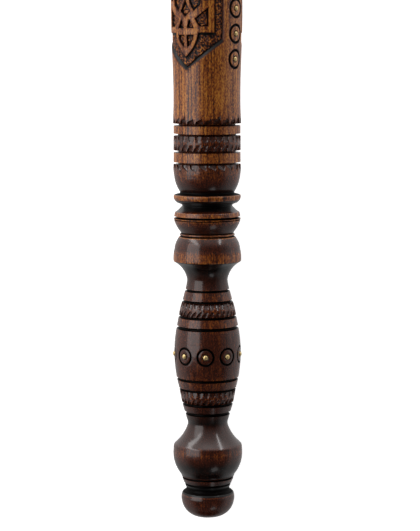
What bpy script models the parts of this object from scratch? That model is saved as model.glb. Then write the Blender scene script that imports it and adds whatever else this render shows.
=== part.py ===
"""Ceremonial mace of turned and carved walnut with brass nails, lying on its head and its foot knob.

The tables are in millimetres and the objects in metres, +Z up.  A station is the distance from the foot end
along the mace's axis.  An azimuth is the angle round that axis, 0 on top and growing towards -Y.
"""
import math

import bmesh
import bpy
from mathutils import Matrix, Vector

MM = 0.001

# ------------------------------------------------------------------ driving dimensions (mm and degrees)
LENGTH = 600.0               # foot end to finial
SHAFT_R = 21.9               # ends of the carved shaft
SWELL = 1.5                  # how much thicker the shaft is half way along its carved field
SWELL_LENGTH = 116.0
FIELD_MIDDLE = 334.5         # station of the middle of the carved field
KNOB_R = 22.75
BARREL_R = 22.0
HEAD_R = 50.0
FACETS = 20                  # sides of every turned stretch, and cuts in each row of gouge cuts
ARC_TOLERANCE = 0.45         # a chord may leave its arc by about this much
LIFT = 0.6                   # cutters stand this much proud of the surface that they cut

# Each row is one turned stretch, from the foot to the finial: what it is, the station and the radius where it
# ends, and how far it bows out (+) or in (-) half way.
TURNING = [
    ("foot end", 0.0, 5.0, 0.0),
    ("foot bead", 10.9, 17.3, 3.1),
    ("foot bead, back", 18.6, 14.5, 1.0),
    ("knob collar", 26.9, 17.4, 0.0),
    ("knob, lower half", 45.0, KNOB_R, 1.8),
    ("knob, shoulder", 48.2, 22.3, 0.2),
    ("knob, throat", 61.0, 13.1, -1.1),
    ("lower neck", 69.2, 14.9, -0.3),
    ("ring", 75.2, 16.7, 0.0),
    ("lower notched band", 85.5, 18.7, 0.0),
    ("ring", 92.2, 20.3, 0.0),
    ("barrel, lower half", 109.5, BARREL_R, 0.35),
    ("barrel, upper half", 126.3, 20.3, 0.35),
    ("ring", 134.0, 18.8, 0.0),
    ("middle notched band", 143.3, 16.5, 0.3),
    ("ring", 150.3, 14.7, 0.0),
    ("middle neck", 157.4, 13.3, 0.0),
    ("cup, flare", 169.3, 21.9, -1.7),
    ("cup, rim", 171.8, 22.3, 0.0),
    ("cup, dome", 187.2, 17.5, 1.4),
    ("lower disc, under side", 197.4, 21.4, 0.4),
    ("lower disc, rim", 200.9, 21.2, 0.0),
    ("waist", 206.2, 16.2, 0.0),
    ("upper disc, under side", 208.9, 20.8, 0.0),
    ("upper disc, rim", 213.1, 21.8, 0.4),
    ("bowl seat", 214.5, 17.6, 0.0),
    ("bowl", 226.6, 21.6, 0.7),
    ("lower fringe", 233.3, 22.2, 0.0),
    ("lower collar", 259.7, 22.1, 0.0),
]
UPPER_TURNING = [
    ("upper collar", 2 * FIELD_MIDDLE - 233.3, 22.2, 0.0),
    ("shoulder", 454.0, 17.4, 0.8),
    ("head collar", 456.0, 20.6, 0.0),
    ("head collar, rim", 460.0, 20.6, 0.0),
    ("head neck", 463.5, 15.6, 0.0),
    ("head, lower half", 521.0, HEAD_R, 8.6),
    ("head, upper half", 571.0, 17.0, 9.2),
    ("finial ring", 575.0, 18.6, 0.5),
    ("finial neck", 580.0, 8.2, 0.0),
    ("finial bud", 589.0, 11.4, 1.3),
    ("finial tip", LENGTH, 3.0, 2.4),
]

# Turned V grooves of the lower stretches: station, width, depth.  Those round the shaft's ends are mirrored.
THIN_GROOVES = [
    (27.6, 1.3, 1.0), (69.6, 1.4, 1.0), (75.9, 1.6, 1.3), (85.5, 1.3, 1.2), (92.4, 1.5, 1.4),
    (126.4, 1.5, 1.4), (134.0, 1.6, 1.4), (143.5, 1.6, 1.2), (150.5, 1.4, 1.0),
]
COLLAR_GROOVES = [(234.3, 2.0, 3.2), (241.9, 2.0, 3.2), (252.5, 2.0, 3.2), (259.7, 2.3, 3.2)]
HEAD_GROOVES = [(496.0, 2.0, 1.8), (546.0, 2.0, 1.8)]

# Rows of gouge cuts, one cut on each facet: station of the deepest point, how far the cut runs on towards the
# head and back towards the foot, width, depth, and slant in degrees.
GOUGE_ROWS = [
    (80.9, 4.6, 4.6, 4.6, 1.2, 16.0),
    (138.7, 4.6, 4.6, 4.6, 1.2, 16.0),
    (245.3, 2.9, 2.9, 6.2, 1.3, 20.0),
    (249.3, 2.6, 2.6, 6.2, 1.1, 0.0),
]
# Rows of pointed cuts, which start in a groove and run out to a point on the surface.
FRINGE_ROWS = [
    (260.0, 7.2, 0.6, 6.4, 1.8, 0.0),
    (234.0, 0.6, 7.4, 6.4, 1.8, 0.0),
    (2 * FIELD_MIDDLE - 260.0, 0.6, 7.2, 6.4, 1.8, 0.0),
]

# The sunk shield and the trident left standing in it: x across, y up from the shield's lowest point.
SHIELD_AZIMUTHS = (-36.5, 143.5)
SHIELD_STATION = 294.4
SHIELD_HALF_WIDTH = 26.2
SHIELD_CORNER = 19.5
SHIELD_HEIGHT = 80.2
SHIELD_DEPTH = 1.4
SHIELD_FLOOR_SCALE = 0.94    # the floor is this much smaller than the mouth, so its walls slope
TRIDENT_HALF = [
    (0.0, 9.1), (4.6, 13.6), (7.9, 19.0), (8.9, 24.75), (19.2, 24.75), (19.2, 71.5), (14.2, 62.5),
    (10.8, 52.0), (10.2, 42.4), (5.6, 38.1), (2.0, 46.6), (4.4, 57.5), (0.0, 75.5),
]
TRIDENT_MIDDLE_PITS = [
    [(0.0, 34.6), (3.9, 39.0), (0.0, 45.2), (-3.9, 39.0)],
    [(0.0, 51.8), (2.0, 57.5), (0.0, 68.5), (-2.0, 57.5)],
]
TRIDENT_SIDE_PITS = [
    [(0.8, 27.8), (6.2, 27.8), (3.2, 33.2)],
    [(6.9, 33.4), (9.7, 28.6), (15.6, 28.6), (15.6, 40.0)],
    [(0.7, 23.0), (5.4, 23.0), (1.7, 15.0)],
]

# Ring-and-nail motifs: a ring groove round a low boss with a brass nail in its middle.
RING_MIDDLE_R = 5.35
RING_WIDTH = 1.9
RING_DEPTH = 1.2
RING_SIDES = 8
BARREL_NAILS = 9
BARREL_NAIL_STATION = 108.6
BARREL_NAIL_AZIMUTH = -3.5
COLUMN_AZIMUTHS = (55.0, -125.0)
COLUMN_NAILS = 5
COLUMN_PITCH = 16.35
HEAD_NAILS = 8
HEAD_NAIL_STATION = 521.0
NAIL_R = 1.7
NAIL_DOME = 1.15
NAIL_POINT = 4.0
NAIL_GAP = 0.3
NAIL_SIDES = 6

# Where the mace lies: the rest plane is this far from the axis, on the side away from azimuth 0.
REST_AT_KNOB = (43.0, KNOB_R - 0.55)
REST_AT_HEAD = (517.5, HEAD_R - 1.25)

WALNUT = (0.12, 0.055, 0.027, 1.0)
BRASS = (0.78, 0.55, 0.20, 1.0)


# ------------------------------------------------------------------ the turned outline
def arc_points(start, end, bow):
    """Points after `start` up to `end` on the circular arc that leaves their chord by `bow` half way."""
    chord = math.hypot(end[0] - start[0], end[1] - start[1])
    steps = max(1, round(math.sqrt(abs(bow) / ARC_TOLERANCE)))
    if steps == 1:
        return [end]
    radius = (chord * chord / 4 + bow * bow) / (2 * abs(bow))
    half_angle = math.asin(chord / 2 / radius)
    along = Vector((end[0] - start[0], end[1] - start[1])) / chord
    out = Vector((-along.y, along.x)) * math.copysign(1.0, bow)
    centre = (Vector(start) + Vector(end)) / 2 - out * (radius - abs(bow))
    points = []
    for step in range(1, steps):
        angle = half_angle * (2 * step / steps - 1)
        point = centre + along * radius * math.sin(angle) + out * radius * math.cos(angle)
        points.append((point.x, point.y))
    return points + [end]


def shaft_points():
    """The shaft between its two collars, which swells towards the middle of its carved field."""
    return [
        (FIELD_MIDDLE - SWELL_LENGTH / 2, SHAFT_R),
        (FIELD_MIDDLE, SHAFT_R + SWELL),
        (FIELD_MIDDLE + SWELL_LENGTH / 2, SHAFT_R),
    ]


def radius_at(outline, station):
    """Radius of the outline at a station."""
    for (low, low_r), (high, high_r) in zip(outline, outline[1:]):
        if low <= station <= high and high > low:
            return low_r + (high_r - low_r) * (station - low) / (high - low)
    raise ValueError("no outline at station %.1f" % station)


def smooth_outline():
    """The whole outline from the foot to the finial, before any groove is cut."""
    outline = [(TURNING[0][1], TURNING[0][2])]
    for _name, station, radius, bow in TURNING[1:]:
        outline += arc_points(outline[-1], (station, radius), bow)
    outline += shaft_points()
    for _name, station, radius, bow in UPPER_TURNING:
        outline += arc_points(outline[-1], (station, radius), bow)
    return outline


def grooved(outline):
    """The outline with each groove's two lips and its bottom cut in."""
    upper_collar = [(2 * FIELD_MIDDLE - station, width, depth) for station, width, depth in COLLAR_GROOVES]
    for station, width, depth in THIN_GROOVES + COLLAR_GROOVES + upper_collar + HEAD_GROOVES:
        low, high = station - width / 2, station + width / 2
        low_lip = (low, radius_at(outline, low))
        high_lip = (high, radius_at(outline, high))
        bottom = (station, min(low_lip[1], high_lip[1]) - depth)
        before = [point for point in outline if point[0] < low - 0.2]
        after = [point for point in outline if point[0] > high + 0.2]
        outline = before + [low_lip, bottom, high_lip] + after
    return outline


OUTLINE = smooth_outline()


# ------------------------------------------------------------------ helpers
def clear_scene():
    for item in list(bpy.data.objects):
        bpy.data.objects.remove(item, do_unlink=True)


def new_collection(name):
    collection = bpy.data.collections.new(name)
    bpy.context.scene.collection.children.link(collection)
    return collection


def new_material(name, colour, roughness, metallic):
    material = bpy.data.materials.new(name)
    material.use_nodes = True
    shader = material.node_tree.nodes["Principled BSDF"]
    shader.inputs["Base Color"].default_value = colour
    shader.inputs["Roughness"].default_value = roughness
    shader.inputs["Metallic"].default_value = metallic
    return material


def mesh_object(name, mesh, collection, parent):
    item = bpy.data.objects.new(name, mesh)
    item.parent = parent
    collection.objects.link(item)
    return item


def evaluated_mesh(item):
    """The mesh that an object's modifiers or its curve give."""
    depsgraph = bpy.context.evaluated_depsgraph_get()
    return bpy.data.meshes.new_from_object(item.evaluated_get(depsgraph))


def turned_mesh(name, outline, sides, collection):
    """Mesh of an outline of (station, radius), listed from the top down, turned round the local Z axis."""
    bm = bmesh.new()
    verts = [bm.verts.new((radius * MM, 0.0, station * MM)) for station, radius in outline]
    for pair in zip(verts, verts[1:]):
        bm.edges.new(pair)
    profile = bpy.data.meshes.new(name)
    bm.to_mesh(profile)
    bm.free()
    item = mesh_object(name, profile, collection, None)
    screw = item.modifiers.new("Turning", "SCREW")
    screw.steps = sides
    screw.render_steps = sides
    screw.use_merge_vertices = True
    screw.merge_threshold = 0.00001
    mesh = evaluated_mesh(item)
    bpy.data.objects.remove(item, do_unlink=True)
    mesh.name = name
    mesh.shade_smooth()
    mesh.set_sharp_from_angle(angle=math.radians(28))
    return mesh


def wrapped(x, y, height, azimuth, station):
    """A flat pattern's point (x across, y along, in mm), laid round the mace at an azimuth and a station."""
    around = math.radians(azimuth) + x / radius_at(OUTLINE, station)
    mean_of_facet = (1 + math.cos(math.pi / FACETS)) / 2
    radius = radius_at(OUTLINE, station + y) * mean_of_facet + height
    return Vector((radius * math.cos(around), radius * math.sin(around), station + y)) * MM


def cutter_object(name, bm, collection, parent):
    mesh = bpy.data.meshes.new(name)
    bm.to_mesh(mesh)
    bm.free()
    item = mesh_object(name, mesh, collection, parent)
    item.hide_render = True
    item.display_type = "WIRE"
    return item


def cut(body, cutter):
    boolean = body.modifiers.new(cutter.name, "BOOLEAN")
    boolean.operation = "DIFFERENCE"
    boolean.solver = "EXACT"
    boolean.object = cutter


# ------------------------------------------------------------------ carving
def mirrored(points):
    return [(-x, y) for x, y in reversed(points)]


def shield_outline():
    half = [(0.0, 0.0), (SHIELD_HALF_WIDTH, SHIELD_CORNER), (SHIELD_HALF_WIDTH, SHIELD_HEIGHT)]
    return half + mirrored(half)[:-1]


def shield_plan(collection):
    """Flat slab with the shield's outline, pierced by the trident, whose own pits are filled again."""
    trident = TRIDENT_HALF + mirrored(TRIDENT_HALF)[1:-1]
    outlines = [shield_outline(), trident] + TRIDENT_MIDDLE_PITS
    outlines += TRIDENT_SIDE_PITS + [mirrored(pit) for pit in TRIDENT_SIDE_PITS]
    curve = bpy.data.curves.new("shield plan", "CURVE")
    curve.dimensions = "2D"
    curve.fill_mode = "BOTH"
    curve.extrude = (SHIELD_DEPTH + LIFT) / 2 * MM
    for outline in outlines:
        spline = curve.splines.new("POLY")
        spline.points.add(len(outline) - 1)
        spline.use_cyclic_u = True
        for point, (x, y) in zip(spline.points, outline):
            point.co = (x * MM, y * MM, 0.0, 1.0)
    item = mesh_object("shield plan", curve, collection, None)
    mesh = evaluated_mesh(item)
    bpy.data.objects.remove(item, do_unlink=True)
    bm = bmesh.new()
    bm.from_mesh(mesh)
    bmesh.ops.remove_doubles(bm, verts=bm.verts, dist=0.00001)
    bmesh.ops.dissolve_limit(bm, angle_limit=0.01, verts=bm.verts, edges=bm.edges)
    return bm


def on_shield_wall(x, y):
    """Whether a point of the flat plan is on the shield's outer edge."""
    slope = SHIELD_CORNER / SHIELD_HALF_WIDTH
    edges = (SHIELD_HALF_WIDTH - abs(x), SHIELD_HEIGHT - y, y - abs(x) * slope)
    return min(edges) < 0.01


def shield_cutter(index, azimuth, collection, parent):
    """The plan, cut along the middles of the facets and where the swell turns, laid on the shaft.

    Its outer walls slope in to the floor; the trident's walls stay upright.
    """
    bm = shield_plan(collection)
    across = radius_at(OUTLINE, SHIELD_STATION)
    facet = 2 * math.pi / FACETS
    for line in range(FACETS):
        offset = ((line + 0.5) * facet - math.radians(azimuth) + math.pi) % (2 * math.pi) - math.pi
        geometry = bm.verts[:] + bm.edges[:] + bm.faces[:]
        bmesh.ops.bisect_plane(bm, geom=geometry, plane_co=(offset * across * MM, 0, 0), plane_no=(1, 0, 0))
    geometry = bm.verts[:] + bm.edges[:] + bm.faces[:]
    swell_line = (FIELD_MIDDLE - SHIELD_STATION) * MM
    bmesh.ops.bisect_plane(bm, geom=geometry, plane_co=(0, swell_line, 0), plane_no=(0, 1, 0))
    middle = SHIELD_HEIGHT / 2
    for vert in bm.verts:
        x, y = vert.co.x / MM, vert.co.y / MM
        height = LIFT if vert.co.z > 0 else -SHIELD_DEPTH
        if vert.co.z < 0 and on_shield_wall(x, y):
            x *= SHIELD_FLOOR_SCALE
            y = middle + (y - middle) * SHIELD_FLOOR_SCALE
        vert.co = wrapped(x, y, height, azimuth, SHIELD_STATION)
    bmesh.ops.triangulate(bm, faces=bm.faces)
    return cutter_object("shield_cutter_%d" % index, bm, collection, parent)


def gouge_cutter(name, row, collection, parent):
    """One row of boat-shaped cuts round the mace, each with two points, a keel and two sides."""
    station, ahead, back, width, depth, slant = row
    bm = bmesh.new()
    turn = Matrix.Rotation(math.radians(-slant), 2)
    for number in range(FACETS):
        made = bmesh.ops.create_uvsphere(bm, u_segments=4, v_segments=2, radius=1.0)
        azimuth = 360.0 * (number + 0.5) / FACETS
        for vert in made["verts"]:
            reach = ahead if vert.co.y > 0 else back
            flat = turn @ Vector((vert.co.x * width / 2, vert.co.y * reach))
            height = vert.co.z * depth if vert.co.z < -0.5 else LIFT * (0.4 + vert.co.z)
            vert.co = wrapped(flat.x, flat.y, height, azimuth, station)
    return cutter_object(name, bm, collection, parent)


def ring_places():
    """Azimuth and station of every nail that has a ring groove round it."""
    turn = 360.0 / BARREL_NAILS
    places = [(BARREL_NAIL_AZIMUTH + turn * number, BARREL_NAIL_STATION) for number in range(BARREL_NAILS)]
    for azimuth in COLUMN_AZIMUTHS:
        for number in range(COLUMN_NAILS):
            offset = (number - (COLUMN_NAILS - 1) / 2) * COLUMN_PITCH
            places.append((azimuth, FIELD_MIDDLE + offset))
    return places


def nail_places():
    """Azimuth and station of every nail."""
    turn = 360.0 / HEAD_NAILS
    return ring_places() + [(turn * (number + 0.5), HEAD_NAIL_STATION) for number in range(HEAD_NAILS)]


def ring_groove_cutter(collection, parent):
    """The V-shaped ring grooves of all the motifs."""
    bpy.ops.mesh.primitive_torus_add(
        major_segments=RING_SIDES, minor_segments=4, major_radius=RING_MIDDLE_R, minor_radius=RING_WIDTH / 2)
    ring = bpy.context.object
    bm = bmesh.new()
    for azimuth, station in ring_places():
        known = len(bm.verts)
        bm.from_mesh(ring.data)
        bm.verts.ensure_lookup_table()
        for vert in bm.verts[known:]:
            height = LIFT / 2 + vert.co.z * (RING_DEPTH + LIFT / 2) / (RING_WIDTH / 2)
            vert.co = wrapped(vert.co.x, vert.co.y, height, azimuth, station)
    bpy.data.objects.remove(ring, do_unlink=True)
    return cutter_object("ring_groove_cutter", bm, collection, parent)


def nail_outline(gap):
    """A nail from its dome down to its point, or its hole where `gap` is more than nothing."""
    radius = NAIL_R + gap
    outline = [(NAIL_DOME, 0.0), (NAIL_DOME * 0.72, radius * 0.6), (0.0, radius), (-NAIL_POINT - gap, 0.0)]
    return outline


def nail_matrix(azimuth, station):
    """Placement of a nail: its axis points out of the mace, its shoulder is just above the wood."""
    foot = wrapped(0.0, 0.0, 0.0, azimuth, station)
    around = math.radians(azimuth)
    turn = Matrix.Rotation(around, 4, "Z") @ Matrix.Rotation(math.pi / 2, 4, "Y")
    return Matrix.Translation(foot) @ turn


def nail_hole_cutter(mesh, collection, parent):
    bm = bmesh.new()
    for place in nail_places():
        known = len(bm.verts)
        bm.from_mesh(mesh)
        bm.verts.ensure_lookup_table()
        bmesh.ops.transform(bm, matrix=nail_matrix(*place), verts=bm.verts[known:])
    return cutter_object("nail_hole_cutter", bm, collection, parent)


# ------------------------------------------------------------------ how it lies
def rest_line():
    """Tilt of the axis above the floor, and the rest plane's distance from the axis at the foot end."""
    (knob_station, knob_distance), (head_station, head_distance) = REST_AT_KNOB, REST_AT_HEAD
    slope = (head_distance - knob_distance) / (head_station - knob_station)
    return math.atan(slope), knob_distance - slope * knob_station


def rest_cutter(collection, parent):
    """A block under the rest plane, which takes one small flat off the head and one off the knob."""
    tilt, distance = rest_line()
    thickness = 20.0
    bm = bmesh.new()
    bmesh.ops.create_cube(bm, size=1.0)
    size = Matrix.Diagonal((thickness * MM, 4 * HEAD_R * MM, 2 * LENGTH * MM, 1.0))
    shift = Matrix.Translation((-thickness / 2 * MM, 0.0, 0.0))
    place = Matrix.Translation((-distance * MM, 0.0, 0.0)) @ Matrix.Rotation(-tilt, 4, "Y")
    bmesh.ops.transform(bm, matrix=place @ shift @ size, verts=bm.verts)
    return cutter_object("rest_cutter", bm, collection, parent)


def lay_down(axis):
    """Put the axis along +X, foot end first, rising to the head, with the box's middle over the origin."""
    tilt, distance = rest_line()
    sine, cosine = math.sin(tilt), math.cos(tilt)
    low = min(station * cosine - radius * sine for station, radius in OUTLINE)
    high = max(station * cosine + radius * sine for station, radius in OUTLINE)
    turn = Matrix(((-sine, 0.0, cosine), (0.0, -1.0, 0.0), (cosine, 0.0, sine)))
    place = Vector((-(low + high) / 2, 0.0, distance * cosine)) * MM
    axis.matrix_world = Matrix.Translation(place) @ turn.to_4x4()


# ------------------------------------------------------------------ the mace
def main():
    clear_scene()
    parts = new_collection("ceremonial mace")
    cutters = new_collection("cutters")
    walnut = new_material("varnished walnut", WALNUT, 0.35, 0.0)
    brass = new_material("polished brass", BRASS, 0.25, 1.0)

    axis = bpy.data.objects.new("mace_axis", None)
    parts.objects.link(axis)
    lay_down(axis)

    top_down = [(LENGTH, 0.0)] + grooved(OUTLINE)[::-1] + [(0.0, 0.0)]
    body = mesh_object("mace_body", turned_mesh("mace_body", top_down, FACETS, cutters), parts, axis)
    body.data.materials.append(walnut)
    for index, azimuth in enumerate(SHIELD_AZIMUTHS, 1):
        cut(body, shield_cutter(index, azimuth, cutters, axis))
    cut(body, ring_groove_cutter(cutters, axis))
    hole = turned_mesh("nail hole", nail_outline(NAIL_GAP), NAIL_SIDES, cutters)
    cut(body, nail_hole_cutter(hole, cutters, axis))
    for index, row in enumerate(GOUGE_ROWS + FRINGE_ROWS, 1):
        cut(body, gouge_cutter("gouge_cutter_%d" % index, row, cutters, axis))
    cut(body, rest_cutter(cutters, axis))

    nail = turned_mesh("brass nail", nail_outline(0.0), NAIL_SIDES, cutters)
    nail.materials.append(brass)
    for number, place in enumerate(nail_places(), 1):
        item = mesh_object("brass_nail_%02d" % number, nail, parts, axis)
        item.matrix_local = nail_matrix(*place)


main()
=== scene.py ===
"""A turned and carved ceremonial mace of varnished walnut with brass nails, lying on a pale studio floor.

Everything on the mace is measured in its own frame, in millimetres: the station runs along the axis from
the foot's end to the finial's tip, and the azimuth runs round it from the side that lies uppermost.
"""

import math
import random

import bpy
import numpy as np
from mathutils import Matrix, Vector, kdtree
from mathutils.geometry import delaunay_2d_cdt


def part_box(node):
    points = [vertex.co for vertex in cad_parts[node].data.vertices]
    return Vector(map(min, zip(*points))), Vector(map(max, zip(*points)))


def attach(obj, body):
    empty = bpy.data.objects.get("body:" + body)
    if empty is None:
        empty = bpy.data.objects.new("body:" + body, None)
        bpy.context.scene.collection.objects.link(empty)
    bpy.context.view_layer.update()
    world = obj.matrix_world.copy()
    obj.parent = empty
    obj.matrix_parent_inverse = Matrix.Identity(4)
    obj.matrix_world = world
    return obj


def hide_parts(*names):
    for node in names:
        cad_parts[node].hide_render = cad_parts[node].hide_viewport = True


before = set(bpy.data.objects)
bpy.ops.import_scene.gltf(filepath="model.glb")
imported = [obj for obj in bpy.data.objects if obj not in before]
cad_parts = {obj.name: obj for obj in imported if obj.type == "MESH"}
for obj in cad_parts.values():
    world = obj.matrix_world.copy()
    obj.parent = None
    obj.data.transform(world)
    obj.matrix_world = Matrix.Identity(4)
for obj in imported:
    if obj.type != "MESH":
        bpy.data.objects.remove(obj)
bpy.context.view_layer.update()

bl_info = {
    "name": "Carved Ceremonial Mace",
    "version": (1, 0, 0),
    "blender": (4, 5, 0),
    "location": "View3D > Sidebar > Mace",
    "description": "Dresses the packed mace with its turned and carved walnut and its brass nails",
    "category": "Object",
}

MM = 0.001

# ------------------------------------------------------------------ how the mace lies
# The rest plane touches a flat on the knob and a flat on the head: station and distance from the axis.
REST_AT_KNOB = (43.0, 22.2)
REST_AT_HEAD = (517.5, 48.75)

# ------------------------------------------------------------------ the turned outline
# Tones say how dark the wood is: 0 is black, partly stain gathered in cuts and partly painted shade in
# grooves, recesses and under overhangs; the next two are a glossy black and a near black, dark stain with
# painted shade on undersides and in hollows; 1 is wood rubbed nearly bare.
BLACK, GLOSSY_SHADE_BLACK, STAIN_AND_SHADE, DARK, DEEP = 0.0, 0.06, 0.16, 0.26, 0.33
MIDDLE, RUBBED, RING_TONE, SHAFT_TONE = 0.42, 0.53, 0.56, 0.64

# How much varnish lies on the wood, by its tone: none in the black cuts, all of it on the dark turnings,
# and less where hands have worn the shaft to a satin.
VARNISH_TONES = (BLACK, GLOSSY_SHADE_BLACK, 0.46, 0.60)
VARNISH_ON_THEM = (0.0, 1.0, 1.0, 0.76)

# Each row ends one stretch of the outline: station, radius, how far the stretch bows out, tone at its end.
FOOT_TO_SHAFT = [
    (0.0, 5.0, 0.0, DARK),
    (10.9, 17.3, 3.1, DEEP),        # foot bead
    (14.4, 17.4, 0.2, DARK),
    (15.1, 17.2, 0.0, MIDDLE),
    # Painted shade under the knob: the bead's top slope and the neck are black, and the collar glossy black.
    (15.8, 17.0, 0.0, STAIN_AND_SHADE),
    (16.4, 16.7, 0.0, BLACK),
    (17.9, 14.4, 0.1, BLACK),
    (19.3, 14.1, 0.0, BLACK),
    (22.4, 15.5, 0.0, GLOSSY_SHADE_BLACK),        # collar under the knob
    (26.9, 17.3, 0.0, DEEP),
    # The knob's lower half, which faces the foot, is darkened with painted shade.
    (28.4, 17.6, 0.0, STAIN_AND_SHADE),
    (35.7, 21.7, 0.4, STAIN_AND_SHADE),       # knob
    (44.0, 22.75, 0.4, MIDDLE),
    (47.2, 22.55, 0.0, DEEP),
    (48.7, 21.8, 0.15, DEEP),
    (49.6, 20.85, 0.0, DARK),
    (60.8, 13.4, -0.85, DARK),      # its throat
    # Painted shade darkens the hollow of the throat.
    (63.6, 13.25, -0.2, STAIN_AND_SHADE),
    (69.2, 14.9, 0.0, STAIN_AND_SHADE),
    (75.2, 16.7, 0.0, DARK),
    (85.5, 18.7, 0.0, DARK),        # lower notched band
    (92.2, 20.3, 0.0, DEEP),
    (109.5, 22.0, 0.35, DEEP),      # barrel
    (126.3, 20.3, 0.35, DEEP),
    (134.0, 18.8, 0.0, DEEP),
    (143.3, 16.5, 0.3, DEEP),       # middle notched band
    (150.3, 14.7, 0.0, DEEP),
    (157.4, 13.3, -0.2, DARK),      # neck
    # The flare faces the foot and is glossy black, painted shade.
    (169.3, 21.9, -1.75, GLOSSY_SHADE_BLACK),     # the cup's flare
    (169.9, 22.3, 0.0, RUBBED),
    (174.5, 22.15, 0.1, RUBBED),    # its rubbed rim
    (177.5, 21.6, 0.1, DEEP),
    (184.9, 18.95, 0.55, DEEP),     # its dome
    # The light edge of the dome, under its black groove, is a painted highlight.
    (185.6, 18.5, 0.0, SHAFT_TONE),
    (185.8, 17.7, 0.0, BLACK),
    (186.5, 17.5, 0.0, BLACK),
    (186.8, 18.1, 0.0, RUBBED),     # and the fillet on top
    (187.6, 17.9, 0.1, RUBBED),
    (187.9, 16.8, 0.0, BLACK),
    (189.0, 17.7, 0.1, DARK),
    (192.8, 20.24, 0.125, DARK),
    (197.1, 21.9, 0.125, RUBBED),   # lower disc
    (197.9, 22.0, 0.0, RUBBED),
    (201.8, 21.2, 0.0, RUBBED),
    (202.2, 20.4, 0.0, DEEP),
    # Painted shade: the waist under the upper disc, and the disc's underside, are glossy black.
    (203.2, 19.1, 0.0, STAIN_AND_SHADE),
    (206.2, 16.2, 0.0, GLOSSY_SHADE_BLACK),       # waist
    (207.2, 17.3, 0.0, GLOSSY_SHADE_BLACK),
    (208.0, 19.6, 0.0, GLOSSY_SHADE_BLACK),
    (209.7, 21.4, 0.1, GLOSSY_SHADE_BLACK),
    (210.2, 21.6, 0.0, RING_TONE),
    (213.1, 21.9, 0.3, SHAFT_TONE), # upper disc
    # Painted shade: black in the hollow between the upper disc and the bowl.
    (213.4, 20.9, 0.0, BLACK),
    (214.3, 17.7, 0.0, BLACK),
    (215.2, 17.9, 0.0, STAIN_AND_SHADE),
    (226.0, 21.7, 0.7, MIDDLE),     # bowl
    (230.0, 22.15, 0.1, MIDDLE),
    (233.25, 22.2, 0.0, MIDDLE),    # the collar's grooves and rings
    (234.75, 22.0, 0.0, RING_TONE),
    (240.95, 21.9, 0.0, RING_TONE),
    (242.45, 22.0, 0.0, MIDDLE),
    (251.85, 22.0, 0.0, MIDDLE),
    (253.35, 21.9, 0.0, RING_TONE),
    (258.4, 21.9, 0.0, RING_TONE),
    (260.0, 22.25, 0.0, SHAFT_TONE),
    (263.5, 22.2, 0.0, SHAFT_TONE),
    (272.0, 21.9, 0.0, SHAFT_TONE),
]
SHOULDER_TO_FINIAL = [
    (454.0, 17.4, 0.8, DEEP),
    (454.6, 20.2, 0.0, DEEP),
    (457.8, 20.9, 0.3, RUBBED),     # head collar
    (460.4, 20.2, 0.3, DEEP),
    (461.2, 15.8, 0.0, BLACK),
    (463.5, 15.6, -0.2, DARK),
    (521.0, 50.0, 8.6, MIDDLE),     # head
    (571.0, 17.0, 9.2, DEEP),
    (571.8, 17.9, 0.0, DEEP),
    (575.4, 18.2, 0.9, RUBBED),     # finial ring
    # Darker in the hollow between the finial ring and the bud: stain with painted shade.
    (576.4, 10.4, -0.3, STAIN_AND_SHADE),
    (580.0, 8.2, -0.7, DARK),
    (589.0, 11.4, 1.3, DEEP),       # finial bud
    (600.0, 3.0, 2.4, DEEP),
]
COLLAR_FROM = 226.0          # the rows past this station turn the upper collar too, in mirror image
FIELD_MIDDLE = 334.5         # where they mirror: the middle of the carved field of the shaft
SHAFT_R = 21.9
SWELL = 1.5                  # the shaft swells by this much at the field's middle
SWELL_LENGTH = 116.0
SHAFT_STATIONS = range(276, 396, 4)

# Corners that turn by more than this are rounded over this much of the wood on each side. One that stands
# out is rubbed lighter, and one that lies in is made darker.
CORNER_TURN, ROUNDING = math.radians(22), 0.4
CREST_RUB, HOLLOW_DARKENING = 0.05, -0.06

# Turned grooves: station, width, depth. A width below zero turns the groove end for end, and so moves a deep
# groove's painted shadow to its other edge.
FINE_GROOVES = [
    (22.2, 1.5, 1.1), (26.6, 1.6, 1.3), (69.4, 2.2, 1.5), (75.7, 2.0, 1.5), (85.5, 1.6, 1.4),
    (92.3, 1.9, 1.6), (126.2, 2.2, 1.7), (133.3, 1.8, 1.6), (143.5, 1.6, 1.4), (150.5, 1.6, 1.2),
    (196.9, 0.7, 0.9), (198.5, 1.5, 1.9), (496.0, 2.0, 1.8), (546.0, 2.0, 1.8),
]
COLLAR_GROOVES = [(234.0, 1.5, 3.2), (241.7, 1.5, 3.1), (252.6, 1.5, 3.0), (259.2, -1.6, 3.4)]
# What is between a groove's lips, from its foot end on: share of its width, share of its depth, tone.
# A shallow groove is black all through: stain gathered in it, and painted shade.
ROUND_GROOVE = [
    (0.08, 0.55, BLACK), (0.2, 0.86, BLACK), (0.5, 1.0, BLACK), (0.8, 0.86, BLACK), (0.92, 0.55, BLACK),
]
# A deep groove is brown inside, with a painted shadow along the lip at its head end.
SHADOW_EDGE_GROOVE = [
    (0.03, 0.3, DARK), (0.12, 0.85, DEEP), (0.5, 1.0, MIDDLE), (0.88, 0.85, DARK), (0.97, 0.3, BLACK),
]
SHADOW_EDGE_FROM = 2.5              # grooves deeper than this are brown inside but for a painted shadow along one edge
GROOVE_LIP_RUB = 0.08        # the lips are this much lighter than the wood beside them
GROOVE_MARGIN = 0.12         # the outline has no other points this near to a groove

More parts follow.
